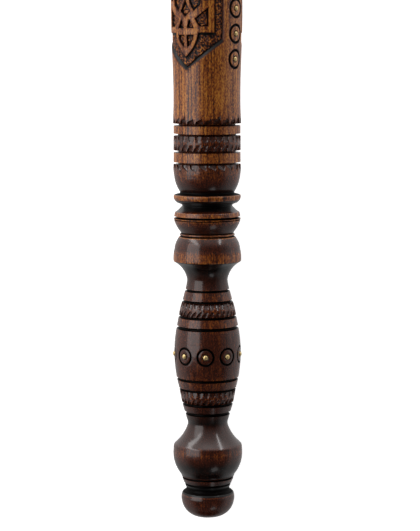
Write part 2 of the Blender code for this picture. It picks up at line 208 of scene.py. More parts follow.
# ------------------------------------------------------------------ the carving
# The outlines of the cuts, one wide and one high, from the right end to the left: a fin with its point to
# one side, and a drop that the band's own lean tips over.
FIN = [
    (0.47, 0.0), (0.43, 0.30), (0.35, 0.66), (0.29, 1.0), (0.17, 0.74), (-0.03, 0.63), (-0.24, 0.52),
    (-0.41, 0.30), (-0.48, 0.0),
]
DROP = [
    (0.44, 0.0), (0.47, 0.35), (0.44, 0.75), (0.32, 0.96), (0.10, 1.0), (-0.16, 0.85), (-0.36, 0.5),
    (-0.45, 0.2), (-0.46, 0.0),
]
# Lines of a cut from its rim to its keel: share of its size, share of its depth, tone.
CUT_LINES = ((1.0, 0.0, MIDDLE), (0.87, 0.75, DARK), (0.5, 1.0, DEEP))
CUT_RISE = 0.85              # the share of its depth that a cut has lost at its far end
# A carver's hand varies: shares of the pitch, of a cut's height at most, and of its depth.
CUT_WIDTHS, TALLEST_CUT, CUT_DEPTHS = (0.93, 0.985), 1.04, (0.85, 1.1)
FRINGE_CUTS = {"form": FIN, "width": 6.3, "height": 5.6, "depth": 1.7, "keel": -0.12, "unevenness": 0.35}
SCALLOP_SIDES = 8
ROW_SHARE = 0.485            # of a notched band's height, taken by each of its two rows
LEAN = 1.3                   # of the leaning row, from one end of its cuts to the other
LIP = 0.35                   # the rubbed edge of a cut, and the steep wall inside it, are this wide
BANK = 1.4                   # from a raised outline to the far side of the cut that follows it
BANK_FOOT = 0.6              # share of the bank that lies flat along the foot of the wall
NARROW_BANK = 0.55           # share of its width where the outline runs along the mace
PUNCH_SPACING = 0.82         # between the punch marks of a sunk ground
# Painted shade in the punched ground: the deeper a mark, the darker its tone, and a raised one is lighter.
PUNCH_DEPTH, PUNCH_SHADE = 0.25, 0.34       # how far the marks leave its level and its tone
FIELD_SEAM = -146.0          # azimuth where the carved field closes
FIELD_FROM_GROOVE = 0.9      # the field starts this far past the middle of the collar's last groove
# The bands of the collar, between its grooves.
COLLAR_FRINGE, COLLAR_NOTCHES = (225.0, 233.25), (242.45, 251.85)

SHIELD_AZIMUTHS = (-36.5, 143.5)
SHIELD_STATION = 294.4
SHIELD_DEPTH = 1.7           # along the foot of its walls; the punched ground stands a little higher
WALL_HOLLOW = 0.42           # share of that depth half way down a sloping wall
WALL_STEP, EDGE_STEP = 1.2, 0.9     # between points along the shield's outline, and along the trident's
GROUND_DEPTH = 1.2
WALL_VARNISH, GROUND_VARNISH = 0.35, 0.3
# Outlines on the shield: x across, y up from its lowest point, and how far the edge that ends there bows.
SHIELD_HALF = [(0.0, 0.0, 0.0), (26.2, 18.9, 0.0), (26.2, 80.2, 0.0)]
SHIELD_WALLS = (2.0, 1.1, 1.3)      # widths of the sloping walls: bottom, sides, top
TRIDENT_HALF = [
    (0.0, 9.1, 0.0), (8.9, 24.5, 1.7), (19.3, 24.5, 0.0), (19.3, 71.5, 0.0), (10.7, 45.0, 2.2),
    (10.2, 41.8, 0.0), (6.0, 38.2, 0.0), (1.9, 48.4, -0.5), (4.6, 57.5, -0.6), (0.0, 75.5, 0.9),
]
MIDDLE_PITS = [
    [(0.0, 34.4, 0.0), (3.8, 38.3, 0.0), (0.0, 46.4, -0.3)],
    [(0.0, 51.4, 0.0), (2.4, 57.5, 0.4), (0.0, 69.5, 0.3)],
]
SIDE_PITS = [
    [(1.0, 27.4, 0.0), (6.1, 27.3, 0.0), (2.7, 33.4, 0.3)],
    [(6.7, 33.5, 0.0), (9.7, 28.3, 0.3), (15.5, 28.3, 0.0), (15.5, 40.6, 0.0)],
    [(0.75, 23.1, 0.0), (1.1, 14.9, 0.0), (5.6, 20.2, 0.5), (6.0, 23.1, 0.0)],
    [(17.0, 45.0, 0.0), (17.0, 62.8, 0.0), (13.6, 53.0, -0.5), (12.9, 45.0, 0.0)],
]

# Rings of a nail's motif from the outside in: radius, depth and tone. The black ring groove is stain with
# painted shade, and the black dimple round the nail is a painted shadow.
MOTIF_RINGS = [
    (6.4, 0.0, None), (6.05, 0.05, DARK), (5.9, 1.1, BLACK), (4.9, 1.3, BLACK), (4.55, 0.15, DARK),
    (4.2, 0.0, None), (2.3, 0.0, None), (2.0, 0.15, DARK), (1.75, 0.6, BLACK),
]
MOTIF_SIDES = 32
COLUMN_MOTIF_SCALE = 1.08
BARREL_NAILS, BARREL_NAIL_AZIMUTH, BARREL_NAIL_STATION = 9, -3.5, 108.6
COLUMN_AZIMUTHS, COLUMN_NAILS, COLUMN_PITCH = (55.0, -125.0), 5, 16.35
HEAD_NAILS, HEAD_NAIL_STATION = 8, 521.0
# A nail's head from its top down to the rim buried in the wood: radius and height, as shares of its sizes.
NAIL_HEAD = [
    (0.0, 1.0), (0.28, 0.97), (0.55, 0.85), (0.78, 0.62), (0.94, 0.30), (1.0, 0.0), (0.98, -0.35),
    (0.0, -0.45),
]
NAIL_LEAN = 4.0              # degrees, the most that a nail was driven askew
NAIL_SEAT = 2.0              # the wood's slope under a nail is taken this far to each side of it

NAIL_SIDES = 20
TURNED_SIDES = 100
TURNED_TOLERANCE = 0.02      # how far the facets may leave a turned arc
CARVED_TOLERANCE = 0.03      # and a carved one

# ------------------------------------------------------------------ the stage
CAMERA_STATION = 307.0       # the camera stands square to the axis over this station
CAMERA_TARGET = 229.3        # and looks at this one
CAMERA_SHIFT = -0.18         # the lens is lowered, which keeps the scale even along the mace
CAMERA_ASIDE = 1.9           # off the axis, towards negative Y
CAMERA_ROLL = -0.14          # degrees
ROOM_STRENGTH = 2.0          # of the brightest part of the room, straight beyond the head
PAPER_RADIUS = 9.0           # metres: the flat part of the background paper; past it the paper sweeps up
PAPER_SWEEP = 3.0
PAPER_SIDES = 64
PAPER_DROP = 0.0002          # the paper lies this far under the flats of the mace, which are at zero


def linear(colour):
    """Linear RGB of an sRGB hex colour such as "8a5a32"."""
    parts = [int(colour[place:place + 2], 16) / 255 for place in (0, 2, 4)]
    return tuple(part / 12.92 if part <= 0.04045 else ((part + 0.055) / 1.055) ** 2.4 for part in parts)


# ------------------------------------------------------------------ outlines
def arc_points(start, end, bow, tolerance):
    """Points after `start` up to `end` on the arc that leaves their chord by `bow` half way, to its left."""
    start, end = Vector(start), Vector(end)
    chord = (end - start).length
    steps = max(1, math.ceil(math.sqrt(abs(bow) / tolerance)))
    if steps == 1:
        return [tuple(end)]
    radius = (chord * chord / 4 + bow * bow) / (2 * abs(bow))
    half_angle = math.asin(min(1.0, chord / 2 / radius))
    along = (end - start) / chord
    out = Vector((-along.y, along.x)) * math.copysign(1.0, bow)
    centre = (start + end) / 2 - out * (radius - abs(bow))
    angles = [half_angle * (2 * step / steps - 1) for step in range(1, steps)]
    points = [tuple(centre + along * radius * math.sin(a) + out * radius * math.cos(a)) for a in angles]
    return points + [tuple(end)]


def round_angles(sides):
    """The corners of a regular polygon, as angles."""
    return [2 * math.pi * side / sides for side in range(sides)]


def mirror(station):
    """The station that lies as far past the middle of the carved field as this one lies before it."""
    return 2 * FIELD_MIDDLE - station


def swollen_radius(station):
    """Radius of the shaft between its collars."""
    offset = abs(station - FIELD_MIDDLE) / (SWELL_LENGTH / 2)
    return SHAFT_R + (SWELL * math.cos(offset * math.pi / 2) ** 2 if offset < 1 else 0.0)


def smooth_outline():
    """The outline from the foot to the finial before any groove is cut: station, radius and tone."""
    collar = [row for row in FOOT_TO_SHAFT if row[0] > COLLAR_FROM]
    mirrored_collar = [(mirror(row[0]), row[1], 0.0, row[3]) for row in reversed(collar)]
    shaft = [(float(s), swollen_radius(s), 0.0, SHAFT_TONE) for s in SHAFT_STATIONS]
    rows = FOOT_TO_SHAFT + shaft + mirrored_collar + SHOULDER_TO_FINIAL
    outline = [(rows[0][0], rows[0][1], rows[0][3])]
    for station, radius, bow, tone in rows[1:]:
        low, _, low_tone = outline[-1]
        for s, r in arc_points(outline[-1][:2], (station, radius), bow, TURNED_TOLERANCE):
            share = (s - low) / (station - low)
            outline.append((s, r, low_tone + (tone - low_tone) * share))
    return outline


def softened(outline):
    """The outline with its sharp corners rounded, the ones that stand out rubbed lighter and the others
    darker.
    """
    soft = [outline[0]]
    for before, corner, after in zip(outline, outline[1:], outline[2:]):
        inward = Vector(before[:2]) - Vector(corner[:2])
        onward = Vector(after[:2]) - Vector(corner[:2])
        if math.pi - inward.angle(onward) < CORNER_TURN:
            soft.append(corner)
            continue
        tone = corner[2] + (CREST_RUB if inward.cross(onward) > 0 else HOLLOW_DARKENING)
        first = Vector(corner[:2]) + inward * min(ROUNDING / inward.length, 0.4)
        last = Vector(corner[:2]) + onward * min(ROUNDING / onward.length, 0.4)
        middle = (first + last) / 4 + Vector(corner[:2]) / 2
        soft += [(first.x, first.y, corner[2]), (middle.x, middle.y, tone), (last.x, last.y, corner[2])]
    return soft + [outline[-1]]


SMOOTH = softened(smooth_outline())
STATIONS, RADII, TONES = (np.array(column) for column in zip(*SMOOTH))


def radius_at(station):
    """Radius of the wood before the grooves and the carving."""
    return float(np.interp(station, STATIONS, RADII))


def tone_at(station):
    """Tone of the wood before the grooves and the carving."""
    return float(np.interp(station, STATIONS, TONES))


def groove_points(station, width, depth):
    """A groove: its two lips, its walls and its floor."""
    low, high = station - width / 2, station + width / 2
    level = min(radius_at(low), radius_at(high))
    form = ROUND_GROOVE if depth < SHADOW_EDGE_FROM else SHADOW_EDGE_GROOVE
    lips = [(lip, radius_at(lip), tone_at(lip) + GROOVE_LIP_RUB) for lip in (low, high)]
    return lips + [(low + width * along, level - depth * share, tone) for along, share, tone in form]


def cut_outline():
    """The outline with every groove turned into it."""
    upper_collar = [(mirror(station), -width, depth) for station, width, depth in COLLAR_GROOVES]
    points = list(SMOOTH)
    for station, width, depth in FINE_GROOVES + COLLAR_GROOVES + upper_collar:
        reach = abs(width) / 2 + GROOVE_MARGIN
        points = [point for point in points if abs(point[0] - station) > reach]
        points += groove_points(station, width, depth)
    return sorted(points)


def polygon(rows):
    """Closed outline of rows of x, y and bow."""
    points = [rows[0][:2]]
    for x, y, bow in rows[1:]:
        points += arc_points(points[-1], (x, y), -bow, CARVED_TOLERANCE)
    return points


def both_halves(half):
    """A symmetrical outline from its right half, which runs anticlockwise from the bottom to the top."""
    points = polygon(half)
    return points + [(-x, y) for x, y in reversed(points) if x > 0.001]


def mirrored(points):
    """The outline's mirror image to the left of the middle line, still anticlockwise."""
    return [(-x, y) for x, y in reversed(points)]


def moved_in(points, distances, furthest=math.inf):
    """The polygon with each edge moved in by its distance, and no corner further than `furthest`."""
    area = sum(a[0] * b[1] - b[0] * a[1] for a, b in zip(points, points[1:] + points[:1]))
    side = math.copysign(1.0, area)
    edges = []
    for a, b, distance in zip(points, points[1:] + points[:1], distances):
        along = (Vector(b) - Vector(a)).normalized()
        edges.append((Vector(a) + Vector((-along.y, along.x)) * side * distance, along))
    moved = []
    for point, (a, along_a), (b, along_b) in zip(points, edges[-1:] + edges[:-1], edges):
        cross = along_a.cross(along_b)
        if abs(cross) < 0.02:       # edges so nearly in line that they don't cross at a certain point
            moved.append(tuple(b))
        else:
            step = a + along_a * ((b - a).cross(along_b) / cross) - Vector(point)
            moved.append(tuple(Vector(point) + step * min(1.0, furthest / max(step.length, 1e-9))))
    return moved


def divided(points, step):
    """The closed line with points added so that none of its parts is much longer than `step`."""
    out = []
    for a, b in zip(points, points[1:] + points[:1]):
        count = max(1, round(math.dist(a, b) / step))
        out += [(a[0] + (b[0] - a[0]) * i / count, a[1] + (b[1] - a[1]) * i / count) for i in range(count)]
    return out


def inside(points, outline):
    """Which of the points, an array of two columns, are inside the outline."""
    x, y = points[:, 0], points[:, 1]
    found = np.zeros(len(points), bool)
    for (ax, ay), (bx, by) in zip(outline, outline[1:] + outline[:1]):
        if ay != by:
            found ^= ((ay > y) != (by > y)) & (x < ax + (y - ay) * (bx - ax) / (by - ay))
    return found


def within(points, outlines):
    """Which of the points are inside any of the outlines."""
    found = np.zeros(len(points), bool)
    for outline in outlines:
        found |= inside(points, outline)
    return found


# ------------------------------------------------------------------ the wood's skin
class Skin:
    """The wood's surface as it grows from the foot to the finial, in the mace's own frame."""

    def __init__(self):
        self.points, self.tones, self.varnish, self.faces = [], [], [], []

    def add(self, azimuth, station, radius, tone, varnish=None):
        """Adds a point and returns its number. Without a value of its own, its varnish follows its tone."""
        if varnish is None:
            varnish = float(np.interp(tone, VARNISH_TONES, VARNISH_ON_THEM))
        self.points.append((radius * math.cos(azimuth), radius * math.sin(azimuth), station))
        self.tones.append(min(1.0, max(0.0, tone)))
        self.varnish.append(varnish)
        return len(self.points) - 1

    def ring(self, station, radius, tone):
        """One turned ring, as (azimuth, point) pairs."""
        azimuths = round_angles(TURNED_SIDES)
        return [(azimuth, self.add(azimuth, station, radius, tone)) for azimuth in azimuths]

    def join(self, low, high):
        """Closes the strip between two rings, whatever the number of points on each."""
        i = j = 0
        while i < len(low) or j < len(high):
            low_next = low[(i + 1) % len(low)][0] + (2 * math.pi if i + 1 >= len(low) else 0)
            high_next = high[(j + 1) % len(high)][0] + (2 * math.pi if j + 1 >= len(high) else 0)
            here = [low[i % len(low)][1], high[j % len(high)][1]]
            step_low = j == len(high) or (i < len(low) and low_next < high_next + 1e-6)
            step_high = i == len(low) or (j < len(high) and high_next < low_next + 1e-6)
            corners = [here[0]]
            if step_low:
                i += 1
                corners.append(low[i % len(low)][1])
            if step_high:
                j += 1
                corners.append(high[j % len(high)][1])
            self.faces.append(tuple(corners + [here[1]]))

    def close(self, ring, station, tone, at_foot):
        """Closes an end of the mace with a fan of triangles."""
        middle = self.add(0.0, station, 0.0, tone)
        for (_, a), (_, b) in zip(ring, ring[1:] + ring[:1]):
            self.faces.append((middle, b, a) if at_foot else (middle, a, b))

    def turn(self, ring, profile):
        """Rings of a turned stretch, joined on to `ring`."""
        for station, radius, tone in profile:
            following = self.ring(station, radius, tone)
            self.join(ring, following)
            ring = following
        return ring


class Plan:
    """A carved band unrolled: u runs round the mace from the seam at the band's radius, v is the station."""

    CLEARANCE = 0.25    # kept between the points along an end and the cuts that open there
    MARGIN = 0.3        # ground points stay this far inside the band
    SNAP = 1e-4         # lengths below this are nothing

    def __init__(self, start, end, radius, seam=0.0):
        self.start, self.end, self.radius, self.seam = start, end, radius, math.radians(seam)
        self.around = 2 * math.pi * radius
        self.lean_from, self.lean_to, self.lean = start, end, 0.0
        self.points, self.depths, self.tones, self.varnish, self.lines = [], [], [], [], []

    def u(self, azimuth):
        """Where an azimuth in degrees lies on the plan."""
        return (math.radians(azimuth) - self.seam) % (2 * math.pi) * self.radius

    def point(self, u, v, depth=0.0, tone=None, varnish=None):
        """Adds a point. Without a tone of its own it has the tone of the turned wood."""
        self.points.append((u, v))
        self.depths.append(depth)
        self.tones.append(tone)
        self.varnish.append(varnish)
        return len(self.points) - 1

    def line(self, points, depth=0.0, tone=None, closed=True, varnish=None):
        """Adds a line. Its depth and its tone are each one value, or a list of one for every point."""
        depths = depth if isinstance(depth, list) else [depth] * len(points)
        tones = tone if isinstance(tone, list) else [tone] * len(points)
        made = [
            self.point(u, v, deep, shade, varnish) for (u, v), deep, shade in zip(points, depths, tones)]
        self.lines += list(zip(made, made[1:] + made[:1] if closed else made[1:]))

    def seam_pair(self, v):
        """The same point on both sides of the seam."""
        self.point(0.0, v)
        self.point(self.around, v)

    def border(self, v, kept_clear=()):
        """Points along one end of the band, outside the stretches that are kept clear."""
        self.seam_pair(v)
        for side in range(1, TURNED_SIDES):
            u = self.around * side / TURNED_SIDES
            if all(u < low - self.CLEARANCE or u > high + self.CLEARANCE for low, high in kept_clear):
                self.point(u, v)

    def sides(self, step):
        """Points up both sides of the seam."""
        count = max(1, round((self.end - self.start) / step))
        for number in range(1, count):
            self.seam_pair(self.start + (self.end - self.start) * number / count)

    def fill(self, spacing, clearance, level, jitter=0.0, chance=None, varnish=None):
        """Spreads ground points, at the depths and in the tones that level(points) gives.

        One whose depth is NaN is left out, and one whose tone is NaN has the tone of the turned wood.
        """
        across, up = spacing
        tree = kdtree.KDTree(len(self.points))
        for number, (u, v) in enumerate(self.points):
            tree.insert((u, v, 0.0), number)
        tree.balance()
        columns = round(self.around / across)
        rows = max(1, round((self.end - self.start) / up))
        spots = []
        for row in range(rows):
            v = self.start + (self.end - self.start) * (row + 0.5) / rows
            for column in range(columns):
                u = self.around * (column + 0.25 + 0.5 * (row % 2)) / columns
                aside = chance.uniform(-jitter, jitter) if jitter else 0.0
                ahead = chance.uniform(-jitter, jitter) if jitter else 0.0
                spots.append((u + aside, v + ahead))
        depths, tones = level(np.array(spots))
        for (u, v), depth, tone in zip(spots, depths, tones):
            far_enough = (self.MARGIN < u < self.around - self.MARGIN
                          and self.start + self.MARGIN < v < self.end - self.MARGIN)
            if far_enough and not math.isnan(depth) and tree.find((u, v, 0.0))[2] > clearance:
                self.point(u, v, depth, None if math.isnan(tone) else tone, varnish)

    def lay(self, skin):
        """Triangulates the plan, lays it round the mace, and returns its rings at the start and the end."""
        flat = [Vector(point) for point in self.points]
        found, _, faces, origins, _, _ = delaunay_2d_cdt(flat, self.lines, [], 0, 1e-5)
        corners, seam = [], {}
        rings = {self.start: [], self.end: []}
        for spot, origin in zip(found, origins):
            if not origin:
                raise ValueError("two lines of the carving cross near u %.2f, v %.2f" % tuple(spot))
            first = origin[0]
            u, v = self.points[first]
            if u > self.around - self.SNAP:     # the far side of the seam, which has the near side's points
                corners.append((round(v, 4), None))
                continue
            tone = self.tones[first]
            share = min(1.0, max(0.0, (v - self.lean_from) / (self.lean_to - self.lean_from)))
            azimuth = ((u + self.lean * share) / self.radius + self.seam) % (2 * math.pi)
            index = skin.add(
                azimuth, v, radius_at(v) - self.depths[first], tone_at(v) if tone is None else tone,
                self.varnish[first])
            corners.append((round(v, 4), index))
            if u < self.SNAP:
                seam[round(v, 4)] = index
            if v in rings:
                rings[v].append((azimuth, index))
        places = [seam[v] if index is None else index for v, index in corners]
        skin.faces += [tuple(places[corner] for corner in face) for face in faces]
        return sorted(rings[self.start]), sorted(rings[self.end])


# ------------------------------------------------------------------ the cuts
def scallop():
    """A scallop's outline in the manner of FIN and DROP, round but for its open side."""
    arch = [math.pi * side / SCALLOP_SIDES for side in range(1, SCALLOP_SIDES)]
    return [(0.5, 0.0)] + [(0.5 * math.cos(a), math.sin(a) ** 0.8) for a in arch] + [(-0.5, 0.0)]


def gouge(plan, u, edge, ahead, form, width, height, depth, keel):
    """One flat cut that opens at an end of the band and rises `ahead`, +1 or -1, its keel off its middle."""
    for share, sunk, tone in CUT_LINES:
        points = [
            (u + width * (keel + share * (x - keel)), edge + ahead * height * share * y if y else edge)
            for x, y in form
        ]
        depths = [depth * sunk * (1 - CUT_RISE * share * y) for _, y in form]
        plan.line(points, depths, tone, closed=False)
    plan.point(u + width * keel, edge, depth, DEEP)
    return u + width * form[-1][0], u + width * form[0][0]


def gouge_row(plan, edge, ahead, chance, form, width, height, depth, keel, unevenness=0.12):
    """A row of cuts round the whole band. Returns their outlines and the parts of the edge they take."""
    count = round(plan.around / width)
    pitch = plan.around / count
    outlines, taken = [], []
    for number in range(count):
        u = pitch * (number + 0.5)
        wide = pitch * chance.uniform(*CUT_WIDTHS)
        high = height * chance.uniform(1 - unevenness, TALLEST_CUT)
        deep = depth * chance.uniform(*CUT_DEPTHS)
        taken.append(gouge(plan, u, edge, ahead, form, wide, high, deep, keel))
        outlines.append([(u + wide * x, edge + ahead * high * y) for x, y in form])
    return outlines, taken


def clear_of(outlines):
    """A level for Plan.fill: the turned surface, with no points inside the outlines."""
    def level(spots):
        return np.where(within(spots, outlines), np.nan, 0.0), np.full(len(spots), np.nan)
    return level


def fringe_plan(start, end, edge, seed):
    """A band with one row of fins that open at `edge`."""
    plan = Plan(start, end, radius=22.1, seam=FIELD_SEAM)
    chance = random.Random(seed)
    ahead = 1 if edge == start else -1
    outlines, taken = gouge_row(plan, edge, ahead, chance, **FRINGE_CUTS)
    plan.border(start, taken if edge == start else ())
    plan.border(end, taken if edge == end else ())
    plan.sides(step=1.6)
    plan.fill(spacing=(1.4, 1.5), clearance=0.55, level=clear_of(outlines))
    return plan


def double_row_plan(start, end, radius, width, seed, scallops_at_end=True):
    """A notched band: a row of scallops open at one end of the band, a row of leaning drops at the other."""
    plan = Plan(start, end, radius)
    chance = random.Random(seed)
    height = (end - start) * ROW_SHARE
    round_edge, drop_edge = (end, start) if scallops_at_end else (start, end)
    toward = -1 if scallops_at_end else 1
    round_cuts, round_taken = gouge_row(
        plan, round_edge, toward, chance, scallop(), width, height, depth=1.15, keel=0.0)
    drop_cuts, drop_taken = gouge_row(
        plan, drop_edge, -toward, chance, DROP, width, height, depth=1.3, keel=-0.15)
    plan.lean_from, plan.lean_to = sorted((drop_edge, drop_edge - toward * height))
    plan.lean = LEAN
    plan.border(round_edge, round_taken)
    plan.border(drop_edge, drop_taken)
    plan.sides(step=1.2)
    plan.fill(spacing=(1.2, 1.3), clearance=0.45, level=clear_of(round_cuts + drop_cuts))
    return plan


def motif(plan, u, v, scale=1.0):
    """The rings and the boss round one nail. Returns the outline that ground points keep out of."""
    angles = round_angles(MOTIF_SIDES)
    circles = [
        [(u + radius * scale * math.cos(a), v + radius * scale * math.sin(a)) for a in angles]
        for radius, _, _ in MOTIF_RINGS
    ]
    for circle, (_, depth, tone) in zip(circles, MOTIF_RINGS):
        plan.line(circle, depth, tone)
    plan.point(u, v, MOTIF_RINGS[-1][1], BLACK)
    return circles[0]


def motif_plan(start, end, radius, azimuths, station):
    """A band with a row of nail motifs round it."""
    turn = 360.0 / len(azimuths)
    plan = Plan(start, end, radius, seam=azimuths[0] - turn / 2)
    outlines = [motif(plan, plan.u(azimuth), station) for azimuth in azimuths]
    plan.border(start)
    plan.border(end)
    plan.sides(step=1.6)
    plan.fill(spacing=(radius / 16, 1.6), clearance=0.6, level=clear_of(outlines))
    return plan


def upright_edge(plan, place, outline, sunk_inside):
    """An edge cut straight down: crest, lip, a foot painted black as shade, and the bank round an outline
    that stands, painted black and near black as shade.
    """
    side = 1.0 if sunk_inside else -1.0
    rings = [(-LIP, 0.0, None), (0.0, 0.0, MIDDLE), (LIP, SHIELD_DEPTH, BLACK)]
    if not sunk_inside:
        # The bank is painted shade: black along the foot of the wall, near black at its far side.
        rings += [(BANK * BANK_FOOT, SHIELD_DEPTH, BLACK), (BANK, GROUND_DEPTH, STAIN_AND_SHADE)]
    for distance, depth, tone in rings:
        distances, furthest = [side * distance] * len(outline), math.inf
        if distance > LIP:
            ends = zip(outline, outline[1:] + outline[:1])
            across = [abs(b[0] - a[0]) / math.dist(a, b) for a, b in ends]
            distances = [side * distance * (NARROW_BANK + (1 - NARROW_BANK) * share) for share in across]
            furthest = 1.8 * distance
        points = moved_in(outline, distances, furthest)
        edge = [place(x, y) for x, y in divided(points, EDGE_STEP)]
        plan.line(edge, depth, tone, varnish=WALL_VARNISH)


def shield(plan, azimuth):
    """A sunk shield with the trident left standing in it. Returns its outlines for the ground points."""
    middle = plan.u(azimuth)

    def place(x, y):
        """A point of the shield on the plan."""
        return middle + x, SHIELD_STATION + y

    lip = both_halves(SHIELD_HALF)
    bottom, flank, top = SHIELD_WALLS
    walls = [bottom, flank, top, flank, bottom]
    foot = moved_in(lip, walls)
    # Painted light and shade on the walls: the side walls are painted lighter, as if lit, and the bottom and
    # top walls black, as shade.
    lit_flanks_from = SHIELD_HALF[1][0] - flank - 0.2    # the side walls, out from here, have tones of their own
    for points, depth, tone, lit_flank_tone in (
        (lip, 0.0, MIDDLE, RUBBED),
        (moved_in(lip, [-LIP] * len(walls)), 0.0, None, None),
        (foot, SHIELD_DEPTH, BLACK, DARK),
        (moved_in(lip, [wall / 2 for wall in walls]), SHIELD_DEPTH * WALL_HOLLOW, BLACK, MIDDLE),
    ):
        points = divided(points, WALL_STEP)
        tones = [lit_flank_tone if abs(x) > lit_flanks_from else tone for x, _ in points]
        plan.line([place(x, y) for x, y in points], depth, tones, varnish=WALL_VARNISH)
    trident = both_halves(TRIDENT_HALF)
    pits = [both_halves(half) for half in MIDDLE_PITS]
    for rows in SIDE_PITS:
        right = polygon(rows)
        pits += [right, mirrored(right)]
    upright_edge(plan, place, trident, sunk_inside=False)
    for pit in pits:
        upright_edge(plan, place, pit, sunk_inside=True)
    return [[place(x, y) for x, y in points] for points in [lip, foot, trident] + pits]


def shaft_plan():
    """The carved field: two shields, two columns of nails, and a fringe at each end."""
    start = COLLAR_GROOVES[-1][0] + FIELD_FROM_GROOVE
    end = mirror(start)
    plan = Plan(start, end, radius=22.6, seam=FIELD_SEAM)
    chance = random.Random(21)
    low_fins, low_taken = gouge_row(plan, start, 1, chance, **FRINGE_CUTS)
    high_fins, high_taken = gouge_row(plan, end, -1, chance, **FRINGE_CUTS)
    plan.border(start, low_taken)
    plan.border(end, high_taken)
    plan.sides(step=3.0)
    blocked = low_fins + high_fins
    for azimuth in COLUMN_AZIMUTHS:
        for number in range(COLUMN_NAILS):
            blocked.append(motif(plan, plan.u(azimuth), column_station(number), COLUMN_MOTIF_SCALE))
    lips, feet, tridents, *pit_pairs = zip(*(shield(plan, azimuth) for azimuth in SHIELD_AZIMUTHS))
    pits = [pit for pair in pit_pairs for pit in pair]

    def sunk(spots, edges):
        """Which spots are inside these edges of the shields and off the tridents, or in their pits."""
        return within(spots, edges) & ~within(spots, tridents) | within(spots, pits)

    def raised(spots):
        """The turned surface between the cuts."""
        depths, tones = clear_of(blocked)(spots)
        depths[sunk(spots, lips)] = np.nan
        return depths, tones

    def punched(spots):
        """The sunk ground, uneven with punch marks, each painted darker the deeper it lies, as shade."""
        marks = np.array([math.sin(math.pi / 2 * chance.uniform(-1, 1)) for _ in spots])
        depths = np.where(sunk(spots, feet), GROUND_DEPTH + PUNCH_DEPTH * marks, np.nan)
        return depths, MIDDLE - PUNCH_SHADE * marks

    plan.fill(spacing=(1.5, 2.4), clearance=0.65, level=raised)
    plan.fill(
        spacing=(PUNCH_SPACING, PUNCH_SPACING * 0.87), clearance=0.45, level=punched,
        jitter=0.2, chance=chance, varnish=GROUND_VARNISH)
    return plan


def column_station(number):
    """Station of a column's nail, counted from the foot end."""
    return FIELD_MIDDLE + (number - (COLUMN_NAILS - 1) / 2) * COLUMN_PITCH


def nail_places():
    """Azimuth and station of every nail: round the barrel, up the two columns, round the head."""
    turn = 360 / BARREL_NAILS
    places = [(BARREL_NAIL_AZIMUTH + turn * n, BARREL_NAIL_STATION) for n in range(BARREL_NAILS)]
    places += [(azimuth, column_station(n)) for azimuth in COLUMN_AZIMUTHS for n in range(COLUMN_NAILS)]
    return places + [(360 / HEAD_NAILS * (n + 0.5), HEAD_NAIL_STATION) for n in range(HEAD_NAILS)]


def carved_bands():
    """Every carved band from the foot to the head."""
    places = nail_places()
    barrel = [azimuth for azimuth, _ in places[:BARREL_NAILS]]
    head = [azimuth for azimuth, _ in places[-HEAD_NAILS:]]
    upper_fringe, upper_notches = (
        [mirror(station) for station in reversed(band)] for band in (COLLAR_FRINGE, COLLAR_NOTCHES))
    return [
        double_row_plan(76.85, 84.6, radius=17.6, width=4.0, seed=3),
        motif_plan(101.0, 116.2, radius=22.0, azimuths=barrel, station=BARREL_NAIL_STATION),
        double_row_plan(134.35, 142.6, radius=17.6, width=3.7, seed=5),
        fringe_plan(*COLLAR_FRINGE, edge=COLLAR_FRINGE[1], seed=7),
        double_row_plan(*COLLAR_NOTCHES, radius=22.0, width=4.7, seed=9),
        shaft_plan(),
        double_row_plan(*upper_notches, radius=22.0, width=4.7, seed=11, scallops_at_end=False),
        fringe_plan(*upper_fringe, edge=upper_fringe[0], seed=13),
        motif_plan(512.5, 529.5, radius=50.0, azimuths=head, station=HEAD_NAIL_STATION),
    ]


def carved_skin():
    """The whole surface of the wood."""
    skin = Skin()
    outline = cut_outline()
    (reached, _, foot_tone), (tip, _, tip_tone) = outline[0], outline[-1]
    ring = skin.ring(*outline[0])
    skin.close(ring, reached, foot_tone, at_foot=True)
    gap = 0.05      # no turned ring lies nearer than this to a carved band
    for plan in carved_bands():
        ring = skin.turn(ring, [row for row in outline if reached + gap < row[0] < plan.start - gap])
        low, high = plan.lay(skin)
        skin.join(ring, low)
        ring, reached = high, plan.end
    ring = skin.turn(ring, [row for row in outline if row[0] > reached + gap])
    skin.close(ring, tip, tip_tone, at_foot=False)
    return skin


# ------------------------------------------------------------------ placing
def axis_matrix():
    """From the mace's own frame, in metres, to the world where it lies on the floor."""
    (low, low_r), (high, high_r) = REST_AT_KNOB, REST_AT_HEAD
    tilt = math.atan2(high_r - low_r, high - low)
    foot_height = (low_r - math.tan(tilt) * low) * math.cos(tilt) * MM
    sine, cosine = math.sin(tilt), math.cos(tilt)
    turn = Matrix(((-sine, 0.0, cosine), (0.0, -1.0, 0.0), (cosine, 0.0, sine))).to_4x4()
    body_low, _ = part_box("mace_body")
    foot_x = body_low.x + FOOT_TO_SHAFT[0][1] * sine * MM
    return Matrix.Translation((foot_x, 0.0, foot_height)) @ turn


def surface_point(azimuth, station):
    """A point of the turned wood in the mace's own frame, in metres."""
    radius = radius_at(station) * MM
    return Vector((radius * math.cos(azimuth), radius * math.sin(azimuth), station * MM))


def new_object(name, data):
    """Adds an object to the scene."""
    item = bpy.data.objects.new(name, data)
    bpy.context.scene.collection.objects.link(item)
    return item


